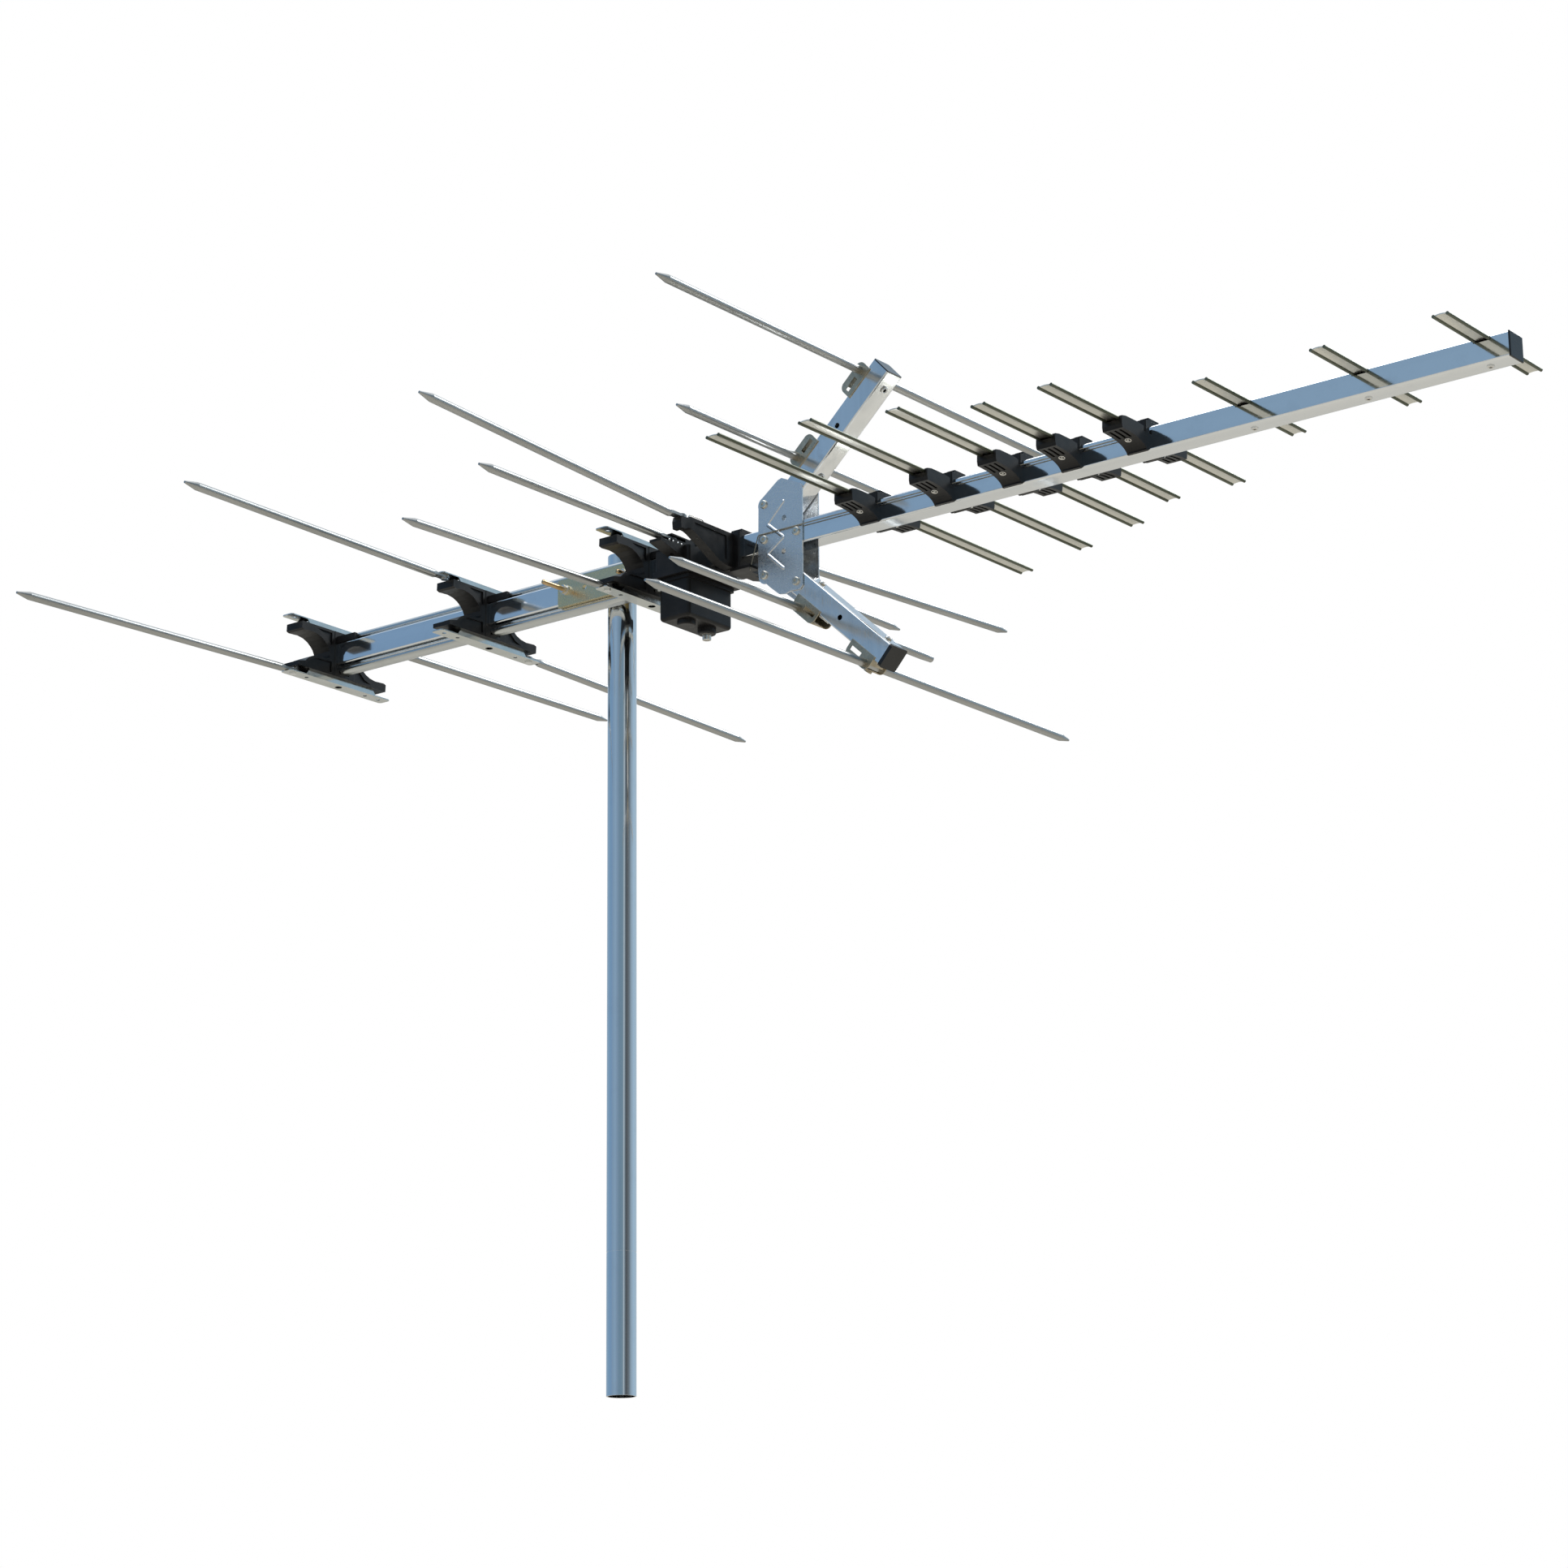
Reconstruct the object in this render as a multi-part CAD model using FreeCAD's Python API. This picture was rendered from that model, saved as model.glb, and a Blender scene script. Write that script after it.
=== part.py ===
import FreeCAD, Part
import math, os

os.makedirs("parts", exist_ok=True)
V = FreeCAD.Vector

# ---------------------------------------------------------------- driving dimensions (mm)
# Frame: origin at the centre of the mast foot, +X forward along the boom, +Y left, +Z up.
boom_height = 880.0        # boom centre line above the mast foot
boom_offset = 31.0         # boom centre line to the right (-Y) of the mast axis
boom_w = 25.4              # square boom tube
boom_wall = 1.4
boom_rear = -430.0
boom_front = 1112.2
boom_r = 2.0               # outer corner radius of the boom

mast_d = 31.75
mast_wall = 1.6
mast_above = 44.0          # mast top above the boom centre line

rod_r = 4.5                # telescoping-size dipole and reflector rod radius
pin_r = 2.5                # pivot rivet shank radius
pin_clear = 0.05           # running clearance in the rod eyes
tip_len = 17.0

v_x = (-408.0, -173.0, 65.0)          # three long elements on hourglass insulators
v_half = (482.0, 465.0, 388.0)
v_right_low = (True, False, True)     # which rod sits on the lower strip, right side
v_tilt_low = -1.5                     # droop of the rods on the lower strips, degrees
v_tilt_high = 0.4
strip_in = 27.4                       # |z| of the strip's inner side
strip_out = 34.0                      # |z| of the strip's outer side
strip_half_w = 8.5
strip_half_l = 82.0
strip_sheet = 1.2
eye_y = 70.0                          # |y| of the rod eyes

x4, z4, half4, eye4 = 140.0, 11.0, 357.0, 52.0     # short driven element, on the junction box
x5, z5, half5, eye5 = 191.0, 13.0, 500.0, 98.0     # long driven element, on its own insulator
tilt5 = 3.0

rail_in, rail_out, rail_half = 16.1, 22.8, 8.0      # feed rails above and below the boom
rail_x0, rail_x1 = -404.0, 92.0

uhf_x = (374.7, 470.0, 554.7, 626.4, 704.9)
uhf_half = (273.0, 247.0, 217.5, 175.5, 176.0)
uhf_z = 9.1
dir_x = (826.3, 955.5, 1084.9)
dir_half = 92.0
dir_z = 9.9
elem_w = 18.0                          # rolled strip element width
elem_t = 0.9
bead_r = 1.7

arm_deg = 42.5
arm_w = 25.4
arm_wall = 1.4
arm_edge = (252.0, 14.5)               # inner front edge of the arm at its root, in the boom's x,z
arm_len = 200.0
arm_pivot = (235.4, 39.5)
clamp_x = 43.0                         # |x| of the U-bolt legs
ref_off = 33.0                         # reflector rod centre from the arm's front edge line
ref_s = (66.5, 181.0)                  # along the arm, inner and outer rod
ref_half_upper = (212.0, 346.0)
ref_half_lower = (224.0, 363.0)

wire_y, wire_z, wire_r = 15.95, 6.0, 0.65            # phasing wire along the right side of the boom
wire_end = (216.5, -14.6, -28.0)
wire_top = (227.8, -wire_y, wire_z - 3.2)

box_x0, box_x1, box_y, box_bot = 109.0, 150.5, 37.0, -71.0   # junction box cover
rim_z0, rim_z1 = -25.0, -17.0

OX, OY, OZ = 0.0, -boom_offset, boom_height
H = boom_w / 2.0


def put(shape, name):
    # every part is drawn in the boom's own frame and moved to the mast-foot frame here
    s = shape.copy()
    s.translate(V(OX, OY, OZ))
    s.exportStep("parts/" + name + ".step")
    print(name, round(s.Volume, 1), s.isValid(), len(s.Solids))


def box(x0, x1, y0, y1, z0, z1):
    return Part.makeBox(x1 - x0, y1 - y0, z1 - z0, V(x0, y0, z0))


def cyl(r, p, d, l):
    return Part.makeCylinder(r, l, V(*p), V(*d))


def poly_x(pts, x0, x1):
    # closed outline in (y, z), extruded along X
    w = Part.makePolygon([V(x0, a, b) for a, b in pts] + [V(x0, pts[0][0], pts[0][1])])
    return Part.Face(w).extrude(V(x1 - x0, 0, 0))


def poly_y(pts, y0, y1):
    # closed outline in (x, z), extruded along Y
    w = Part.makePolygon([V(a, y0, b) for a, b in pts] + [V(pts[0][0], y0, pts[0][1])])
    return Part.Face(w).extrude(V(0, y1 - y0, 0))


def arc_pts(cx, cy, r, a0, a1, n=12):
    return [(cx + r * math.cos(math.radians(a0 + (a1 - a0) * i / n)),
             cy + r * math.sin(math.radians(a0 + (a1 - a0) * i / n))) for i in range(n + 1)]


def bez(p0, p1, p2, n=10):
    out = []
    for i in range(n + 1):
        t = i / float(n)
        out.append(tuple((1 - t) ** 2 * a + 2 * t * (1 - t) * b + t * t * c for a, b, c in zip(p0, p1, p2)))
    return out


def flip_y(s):
    return s.mirror(V(0, 0, 0), V(0, 1, 0))


def flip_z(s):
    return s.mirror(V(0, 0, 0), V(0, 0, 1))


def fuse(a, *rest):
    s = a.fuse(list(rest)) if rest else a
    return s.removeSplitter()


def group(*solids):
    return Part.makeCompound(list(solids))


def hexagon(r, x, z, y0, y1, turn=0.0):
    pts = [(x + r * math.cos(math.radians(60 * i + turn)), z + r * math.sin(math.radians(60 * i + turn))) for i in range(6)]
    return poly_y(pts, y0, y1)


# ---------------------------------------------------------------- mast
m_r = mast_d / 2.0
mz0, mz1 = -boom_height, mast_above
mast = Part.makeCylinder(m_r, mz1 - mz0, V(0, boom_offset, mz0))
mast = mast.makeFillet(1.2, [e for e in mast.Edges if abs(e.BoundBox.ZMin - mz1) < 0.01 and abs(e.BoundBox.ZMax - mz1) < 0.01])
mast = mast.cut(Part.makeCylinder(m_r - mast_wall, mz1 - mz0 - 3.0, V(0, boom_offset, mz0)))
# shallow ring that marks how deep the foot goes into its socket
foot = 150.0
ring = Part.makeCylinder(m_r + 1, 1.0, V(0, boom_offset, mz0 + foot)).cut(Part.makeCylinder(m_r - 0.3, 1.0, V(0, boom_offset, mz0 + foot)))
mast = mast.cut(ring)
put(mast, "mast_tube")

# ---------------------------------------------------------------- boom
boom = box(boom_rear, boom_front, -H, H, -H, H)
boom = boom.makeFillet(boom_r, [e for e in boom.Edges if e.BoundBox.XLength > 100])
inner = box(boom_rear - 1, boom_front + 1, -H + boom_wall, H - boom_wall, -H + boom_wall, H - boom_wall)
boom = boom.cut(inner)
slot_w = elem_w / 2.0 + 0.15
slot_h = bead_r + 0.1
cuts = [box(x - slot_w, x + slot_w, -H - 1, H + 1, dir_z - slot_h, dir_z + slot_h) for x in dir_x]
rivet_x = (830.4, 956.5, 1086.1)
cuts += [cyl(2.0, (x, 0, -H - 1), (0, 0, 1), 4) for x in rivet_x]
cuts += [cyl(3.0, (x, -H - 1, z), (0, 1, 0), 2 * H + 2) for x, z in ((278.5, 0.5), (235.5, 0.0))]
cuts += [cyl(2.65, (x, -H - 1, 3.0), (0, 1, 0), 2 * H + 2) for x in (-clamp_x, clamp_x)]
boom = boom.cut(Part.makeCompound(cuts))
put(boom, "boom_tube")

# thin plate flush with the tube's outside, with a plug that grips inside it
cap = box(boom_front, boom_front + 1.8, -H, H, -H, H)
cap = cap.makeFillet(0.6, [e for e in cap.Edges if e.BoundBox.XMin > boom_front + 1.7])
plug = box(boom_front - 8.0, boom_front + 0.9, -H + boom_wall + 0.1, H - boom_wall - 0.1, -H + boom_wall + 0.1, H - boom_wall - 0.1)
put(fuse(cap, plug), "boom_front_cap")

# ---------------------------------------------------------------- feed rails (open-ended rolled channels)
def rail(sign):
    a, b = (rail_in, rail_out)
    s = box(rail_x0, rail_x1, -rail_half, rail_half, a, b)
    s = s.makeFillet(1.2, [e for e in s.Edges if e.BoundBox.XLength > 100 and e.BoundBox.ZMax < a + 0.1])
    s = s.makeFillet(4.6, [e for e in s.Edges if e.BoundBox.XLength > 100 and e.BoundBox.ZMin > b - 0.1 and abs(e.BoundBox.YMin) > rail_half - 0.1])
    i = box(rail_x0 - 1, rail_x1 + 1, -rail_half + 1.1, rail_half - 1.1, a + 1.1, b - 1.1)
    i = i.makeFillet(3.5, [e for e in i.Edges if e.BoundBox.XLength > 100 and e.BoundBox.ZMin > b - 1.2])
    s = s.cut(i)
    s = s.cut(box(rail_x0 - 1, rail_x1 + 1, -2.5, 2.5, a - 1, a + 2))
    return s if sign > 0 else flip_z(s)


put(rail(1), "upper_rail")
put(rail(-1), "lower_rail")

# ---------------------------------------------------------------- hourglass insulators of the long elements
# Outline of the right side in (y, z): a flat shoulder at each end and a waist open to the side; the left
# side is the same outline turned half a turn about the boom.
def hourglass(x):
    f = 11.0
    near = [(-69.0, 26.9), (-69.5, 18.5), (-66.0, 17.2), (-51.8, 18.0), (-43.0, 16.6), (-36.2, 13.8), (-31.0, 10.0),
            (-27.2, 6.1), (-24.5, 1.0), (-23.6, -4.4), (-24.5, -7.0), (-26.8, -8.7), (-46.6, -9.1), (-57.0, -14.1),
            (-63.0, -19.5), (-74.5, -22.0), (-74.5, -26.9), (0.0, -26.9), (0.0, 26.9)]
    pockets = [[(-44.0, 23.9), (-34.0, 20.5), (-27.0, 14.5), (-20.5, 9.0), (-20.5, 23.9)],
               [(-20.5, -11.5), (-45.0, -12.3), (-56.0, -17.5), (-60.0, -23.9), (-20.5, -23.9)]]

    def turned(pts):
        return [(-a, -b) for a, b in pts]

    body = poly_x(near, x - f - 1.6, x + f + 1.6).fuse(poly_x(turned(near), x - f - 1.6, x + f + 1.6))
    # collar round the boom and both rails
    col = box(x - f - 2.0, x + f + 2.0, -H - 4.5, H + 4.5, -26.9, 26.9)
    col = col.makeFillet(1.6, [e for e in col.Edges if e.BoundBox.ZLength > 50])
    body = fuse(body, col)
    for pk in pockets:
        for q in (pk, turned(pk)):
            for a, b in ((x - f - 3.0, x - f), (x + f, x + f + 3.0)):
                body = body.cut(poly_x(q, a, b))
    # tongues forward over the foot of the upper rail
    for y0, y1 in ((rail_half + 0.1, H), (-H, -rail_half - 0.1)):
        body = body.fuse(box(x + f, x + f + 30.0, y0, y1, H + 0.2, 21.0))
    body = body.cut(box(x - 40, x + 60, -H, H, -H, H))
    for t in (1, -1):
        z0, z1 = (rail_in - 0.02, rail_out + 0.02) if t > 0 else (-rail_out - 0.02, -rail_in + 0.02)
        body = body.cut(box(x - 40, x + 60, -rail_half - 0.02, rail_half + 0.02, z0, z1))
    return body.removeSplitter()


def strip(x, up):
    # channel strip: outer web with two side walls that stop short of the rod eyes
    w = strip_half_w
    s = box(x - w, x + w, -strip_half_l, strip_half_l, strip_out - strip_sheet, strip_out)
    for sx in (-1, 1):
        x0, x1 = (x - w, x - w + strip_sheet) if sx < 0 else (x + w - strip_sheet, x + w)
        pts = [(-57.0, strip_out - 0.5), (-52.0, 27.0), (52.0, 27.0), (57.0, strip_out - 0.5)]
        s = s.fuse(poly_x(pts, x0, x1))
    s = s.removeSplitter()
    for e in (-1, 1):
        s = s.cut(cyl(2.3, (x, e * 48.0, 20), (0, 0, 1), 20))
        s = s.cut(cyl(pin_r, (x, e * eye_y, 20), (0, 0, 1), 20))
    s = s.cut(cyl(4.2, (x, 4.0, 20), (0, 0, 1), 20))
    # corners of the ends rounded
    s = s.makeFillet(4.0, [e for e in s.Edges if abs(abs(e.BoundBox.YMin) - strip_half_l) < 0.01 and e.BoundBox.YLength < 0.01
                           and e.BoundBox.ZLength > 1.0 and e.BoundBox.XLength < 0.01])
    return s if up else flip_z(s)


for i, x in enumerate(v_x):
    n = str(i + 1)
    put(hourglass(x), "v%s_insulator" % n)
    put(group(strip(x, True), strip(x, False)), "v%s_strips" % n)


# ---------------------------------------------------------------- hinged half rods
def half_rod(x, ey, z, half, tilt, side, flat_t=3.0, flat_len=18.5, flat_w=9.0, point=True):
    # rod pointing to -Y (side -1) or +Y (side +1); the eye is flattened, the rest is round
    z0, z1 = z - flat_t / 2.0, z + flat_t / 2.0
    eye = cyl(flat_w / 2.0 + 1.0, (x, 0, z0), (0, 0, 1), flat_t)
    flat = box(x - flat_w / 2.0, x + flat_w / 2.0, 0, flat_len + 3.0, z0, z1)
    L = half - ey - flat_len
    rod = cyl(rod_r, (x, flat_len, z), (0, 1, 0), L - tip_len)
    neck = Part.makeCone(2.6, rod_r, 4.0, V(x, flat_len - 4.0, z), V(0, 1, 0))
    tip = Part.makeCone(rod_r, 1.3, tip_len, V(x, flat_len + L - tip_len, z), V(0, 1, 0))
    rnd = fuse(rod, tip)
    rnd = rnd.fuse(Part.makeCone(3.4, rod_r, 4.0, V(x, flat_len - 3.9, z), V(0, 1, 0)))
    rnd.rotate(V(x, flat_len, z), V(1, 0, 0), tilt)
    s = eye.fuse([flat, rnd])
    s = s.cut(cyl(pin_r + pin_clear, (x, 0, z - 10), (0, 0, 1), 20))
    s = s.removeSplitter()
    s.translate(V(0, ey, 0))
    return flip_y(s) if side < 0 else s


eye_flat = 3.0
z_low = -(strip_out - strip_sheet - 0.2 - eye_flat / 2.0)
z_high = -z_low
pins = []
for i, x in enumerate(v_x):
    low_right = v_right_low[i]
    for side in (-1, 1):
        low = low_right if side < 0 else not low_right
        z = z_low if low else z_high
        put(half_rod(x, eye_y, z, v_half[i], v_tilt_low if low else v_tilt_high, side), "v%d_rod_%s" % (i + 1, "right" if side < 0 else "left"))
        # rivet: shank through the eye, head outside the strip, collar inside
        s = 1 if not low else -1
        y = side * eye_y
        sh = cyl(pin_r, (x, y, s * 28.2), (0, 0, s), strip_out - 28.2)
        hd = Part.makeCylinder(4.2, 1.4, V(x, y, s * strip_out), V(0, 0, s))
        cl = Part.makeCylinder(4.2, 1.2, V(x, y, s * 28.2), V(0, 0, s))
        pins.append(fuse(sh, hd, cl))

# ---------------------------------------------------------------- long driven element: insulator with an arm to each side
def wing5():
    # outline of the right side in (y, z); the flattened rod eye lies on the step at the tip
    pts = [(-104.6, 11.4), (-106.2, 6.0), (-105.4, -1.6), (-99.0, -1.6), (-93.4, 0.9), (-89.0, 0.6), (-83.6, -1.0), (-74.2, -5.3),
           (-64.8, -9.5), (-52.0, -16.0), (-42.0, -21.5), (-30.0, -24.0), (0.0, -24.0), (0.0, 13.8), (-90.5, 14.2), (-91.5, 11.4)]
    w = poly_x(pts, x5 - 6.0, x5 + 6.0)
    # shallow pocket on both faces between the borders
    pocket = [(-84.0, 9.8), (-76.0, 0.4), (-60.0, -7.4), (-48.0, -13.0), (-30.0, -18.0), (-30.0, 9.0)]
    for a, b in ((x5 - 9.0, x5 - 4.8), (x5 + 4.8, x5 + 9.0)):
        w = w.cut(poly_x(pocket, a, b))
    return w


ins5 = wing5()
ins5 = ins5.fuse(flip_y(wing5()))
blk = box(x5 - 9.0, x5 + 13.0, -H - 5.0, H + 5.0, -24.5, 16.5)
blk = blk.makeFillet(1.5, [e for e in blk.Edges if e.BoundBox.ZLength > 30])
knob = box(x5 - 2.0, x5 + 12.0, -H + 1.0, H - 1.0, 15.5, 20.5)
shelf = box(x5 + 0.0, x5 + 27.5, -17.5, -2.0, -27.0, -24.0)
ins5 = ins5.fuse([blk, knob, shelf])
ins5 = ins5.cut(box(x5 - 60, x5 + 60, -H, H, -H, H))
for s in (-1, 1):
    ins5 = ins5.cut(cyl(pin_r, (x5, s * eye5, -10), (0, 0, 1), 40))
wd = V(wire_top[0] - wire_end[0], wire_top[1] - wire_end[1], wire_top[2] - wire_end[2])
ins5 = ins5.cut(Part.makeCylinder(wire_r, 15.0, V(*wire_end), wd))
put(ins5.removeSplitter(), "dipole_insulator")
clip5 = []
for s in (-1, 1):
    put(half_rod(x5, eye5, z5, half5, tilt5, s, flat_len=20.5), "v5_rod_%s" % ("right" if s < 0 else "left"))
    p = cyl(pin_r, (x5, s * eye5, -0.5), (0, 0, 1), 15.4)
    pins.append(fuse(p, cyl(4.2, (x5, s * eye5, 14.65), (0, 0, 1), 1.3)))

# ---------------------------------------------------------------- junction box: base with the short driven element, hinged cover
base = box(107.5, 155.0, -42.0, 42.0, rim_z0 + 1.0, 6.0)
base = base.makeFillet(3.0, [e for e in base.Edges if e.BoundBox.ZLength > 20])
rim = box(105.5, 157.0, -44.0, 44.0, rim_z0 + 1.0, rim_z1)
rim = rim.makeFillet(2.5, [e for e in rim.Edges if e.BoundBox.ZLength > 5])
arm4 = []
for s in (-1, 1):
    y0, y1 = (-80.0, -38.0) if s < 0 else (38.0, 80.0)
    pl = [(-80.0, 2.0), (-38.0, -9.0), (-20.0, -9.0), (-20.0, 14.0), (-76.0, 14.5), (-80.0, 10.0)]
    a = poly_x(pl, x4 - 8.0, x4 + 8.0)
    arm4.append(a if s < 0 else flip_y(a))
top4 = box(x4 - 9.0, x4 + 9.0, -H - 9.0, H + 9.0, 6.0, 19.0)
base = base.fuse([rim, top4] + arm4)
base = base.cut(box(90, 180, -H, H, -H, H))
# hollow below the boom, open at the bottom, and forks for the rod eyes
base = base.cut(box(110.5, 152.0, -39.0, 39.0, rim_z0 - 1, -15.5))
for s in (-1, 1):
    y0, y1 = (-95.0, -39.0) if s < 0 else (39.0, 95.0)
    base = base.cut(box(x4 - 20, x4 + 20, y0, y1, z4 - 1.7, z4 + 1.7))
    base = base.cut(cyl(pin_r, (x4, s * eye4, -10), (0, 0, 1), 40))
    # the round part of the rod needs room outside the fork
    yy0, yy1 = (-95.0, -eye4 - 10.0) if s < 0 else (eye4 + 10.0, 95.0)
    base = base.cut(box(x4 - 20, x4 + 20, yy0, yy1, z4 - 6.0, z4 + 6.0))
# knuckles of the cover hinge along the rear lower edge of the rim
hx, hz = 100.5, -21.5
for y0, y1 in ((-34.0, -22.0), (22.0, 34.0)):
    k = box(hx, 107.0, y0, y1, hz - 2.4, hz + 2.6).fuse(cyl(2.6, (hx, y0, hz), (0, 1, 0), y1 - y0))
    base = base.fuse(k)
base = base.cut(cyl(1.25, (hx, -40, hz), (0, 1, 0), 80))
put(base.removeSplitter(), "junction_base")
for s in (-1, 1):
    put(half_rod(x4, eye4, z4, half4, 0.0, s, flat_len=19.5), "v4_rod_%s" % ("right" if s < 0 else "left"))
    p = cyl(pin_r, (x4, s * eye4, 4.0), (0, 0, 1), 10.5)
    pins.append(fuse(p, cyl(4.2, (x4, s * eye4, 14.5), (0, 0, 1), 1.2)))

put(group(*pins), "rod_rivets")

cov = box(box_x0, box_x1, -box_y, box_y, box_bot, rim_z0 + 0.6)
cov = cov.makeFillet(4.0, [e for e in cov.Edges if e.BoundBox.ZLength > 30 or e.BoundBox.ZMax < box_bot + 0.1])
cov = cov.cut(box(box_x0 + 2.0, box_x1 - 2.0, -box_y + 2.0, box_y - 2.0, box_bot + 2.5, rim_z0 + 2))
# step near the top of the cover, just under the base rim
lip = box(box_x0 - 2.0, box_x1 + 2.0, -box_y - 2.0, box_y + 2.0, rim_z0 - 3.4, rim_z0 + 0.6)
lip = lip.makeFillet(2.5, [e for e in lip.Edges if e.BoundBox.ZLength > 3])
lip = lip.cut(box(box_x0 + 2.0, box_x1 - 2.0, -box_y + 2.0, box_y - 2.0, rim_z0 - 8, rim_z0 + 2))
cov = cov.fuse(lip)
bx, b1y, b2y = 134.0, -21.0, 13.5
for y, d in ((b1y, 5.5), (b2y, 7.0)):
    b = Part.makeCylinder(10.0, d + 3.0, V(bx, y, box_bot - d), V(0, 0, 1))
    b = b.makeFillet(1.6, [e for e in b.Edges if e.BoundBox.ZMax < box_bot - d + 0.01])
    cov = cov.fuse(b)
cov = cov.cut(cyl(5.1, (bx, b2y, box_bot - 13), (0, 0, 1), 20))
k = box(hx, box_x0 + 1.0, -21.5, 21.5, rim_z0 - 3.2, rim_z0 - 1.0)
k = k.fuse(cyl(2.6, (hx, -21.5, hz), (0, 1, 0), 43.0))
k = k.fuse(box(hx - 2.6, hx + 1.0, -21.5, 21.5, rim_z0 - 3.2, hz))
cov = cov.fuse(k).cut(cyl(1.0 + 0.05, (hx, -30, hz), (0, 1, 0), 60))
# keep the hinge strap clear of the base rim
cov = cov.cut(box(104.9, 180, -21.6, 21.6, rim_z0 + 0.62, 0))
put(cov.removeSplitter(), "junction_cover")

pin = cyl(1.0, (hx, -34.0, hz), (0, 1, 0), 68.0)
ends = [cyl(1.25, (hx, -34.0, hz), (0, 1, 0), 12.0), cyl(1.25, (hx, 22.0, hz), (0, 1, 0), 12.0)]
put(fuse(pin, *ends), "cover_pin")

# coax socket: flange inside the cover, barrel through the boss, nose below it
fz = box_bot - 7.0
sock_r, sock_len = 4.75, 6.0
conn = cyl(5.0, (bx, b2y, fz + 11.0), (0, 0, -1), 11.0)
conn = conn.fuse([cyl(7.0, (bx, b2y, box_bot + 3.0), (0, 0, 1), 1.0), cyl(sock_r, (bx, b2y, fz - sock_len), (0, 0, 1), sock_len + 1.0)])
conn = conn.cut(cyl(3.6, (bx, b2y, fz - 10), (0, 0, 1), 8.0))
conn = conn.cut(cyl(0.7, (bx, b2y, fz - 3), (0, 0, 1), 8.0))
put(conn.removeSplitter(), "coax_socket")

# printed board with the matching transformer, under the boom inside the box
board = box(119.5, 148.0, -33.0, 33.0, -18.6, -17.0)
tor = Part.makeTorus(6.5, 3.2, V(134.0, 8.0, -21.4), V(0, 0, 1))
tor2 = Part.makeTorus(4.5, 2.4, V(134.0, -14.0, -20.6), V(0, 0, 1))
posts = [cyl(2.0, (x, y, -18.8), (0, 0, 1), 3.3) for x in (123.0, 144.5) for y in (-29.0, 29.0)]
put(fuse(board, tor, tor2, *posts), "transformer_board")

# ---------------------------------------------------------------- corner reflector: bracket plates
pl = [(228.3, 39.0), (232.0, 46.0), (254.5, 62.5), (259.5, 64.0), (283.5, 53.0), (287.0, 49.0), (286.2, -60.5), (282.5, -64.5),
      (269.5, -64.0), (263.5, -66.0), (255.0, -64.5), (243.5, -55.0), (228.1, -40.0), (227.1, -34.0)]


def plate(y0, y1):
    s = poly_y(pl, y0, y1)
    out = -1.0 if y1 < 0 else 1.0
    yf = y0 if out < 0 else y1
    # embossed chevron ribs, one above and one below the boom centre line
    for pts in (((261.5, 37.5), (240.5, 17.0)), ((240.5, 15.5), (260.0, -1.0)), ((261.0, -2.5), (240.0, -16.5)), ((240.5, -18.0), (261.0, -37.0))):
        (xa, za), (xb, zb) = pts
        L = math.hypot(xb - xa, zb - za)
        yc = yf - out * 2.5
        r = cyl(3.2, (xa, yc, za), (xb - xa, 0, zb - za), L)
        r = r.fuse([Part.makeSphere(3.2, V(xa, yc, za)), Part.makeSphere(3.2, V(xb, yc, zb))])
        lim = box(200, 320, yf - 1.3, yf + 0.6, -80, 80) if out < 0 else box(200, 320, yf - 0.6, yf + 1.3, -80, 80)
        s = s.fuse(r.common(lim))
    holes = [(262.5, 18.7, 3.0), (261.5, -18.3, 3.0), (278.5, 0.5, 3.0), (235.5, 0.0, 3.0), (277.8, -55.0, 3.0),
             (arm_pivot[0], arm_pivot[1], 3.0), (arm_pivot[0], -arm_pivot[1], 3.0)]
    for x, z, r in holes:
        s = s.cut(cyl(r, (x, y0 - 3, z), (0, 1, 0), (y1 - y0) + 6))
    return s.removeSplitter()


pt = 1.5
pg = H + 0.4
put(plate(-pg - pt, -pg), "bracket_plate_right")
put(plate(pg, pg + pt), "bracket_plate_left")


def bolt(x, z, y0, y1, rs=3.0, rh=4.6, hh=2.2):
    s = cyl(rs, (x, y0, z), (0, 1, 0), y1 - y0)
    a = Part.makeCylinder(rh, hh, V(x, y0, z), V(0, -1, 0))
    b = Part.makeCylinder(rh, hh, V(x, y1, z), V(0, 1, 0))
    a = a.makeFillet(1.2, [e for e in a.Edges if abs(e.BoundBox.YMin - (y0 - hh)) < 0.01 and e.BoundBox.YLength < 0.01])
    b = b.makeFillet(1.2, [e for e in b.Edges if abs(e.BoundBox.YMax - (y1 + hh)) < 0.01 and e.BoundBox.YLength < 0.01])
    s = fuse(s, a, b)
    # small recess in the middle of each head
    return s.cut(cyl(1.6, (x, y0 - hh - 1, z), (0, 1, 0), 2.2)).cut(cyl(1.6, (x, y1 + hh - 1.2, z), (0, 1, 0), 2.2))


yb = pg + pt
bolts = [bolt(278.5, 0.5, -yb, yb), bolt(235.5, 0.0, -yb, yb), bolt(arm_pivot[0], arm_pivot[1], -yb, yb), bolt(arm_pivot[0], -arm_pivot[1], -yb, yb)]
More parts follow.
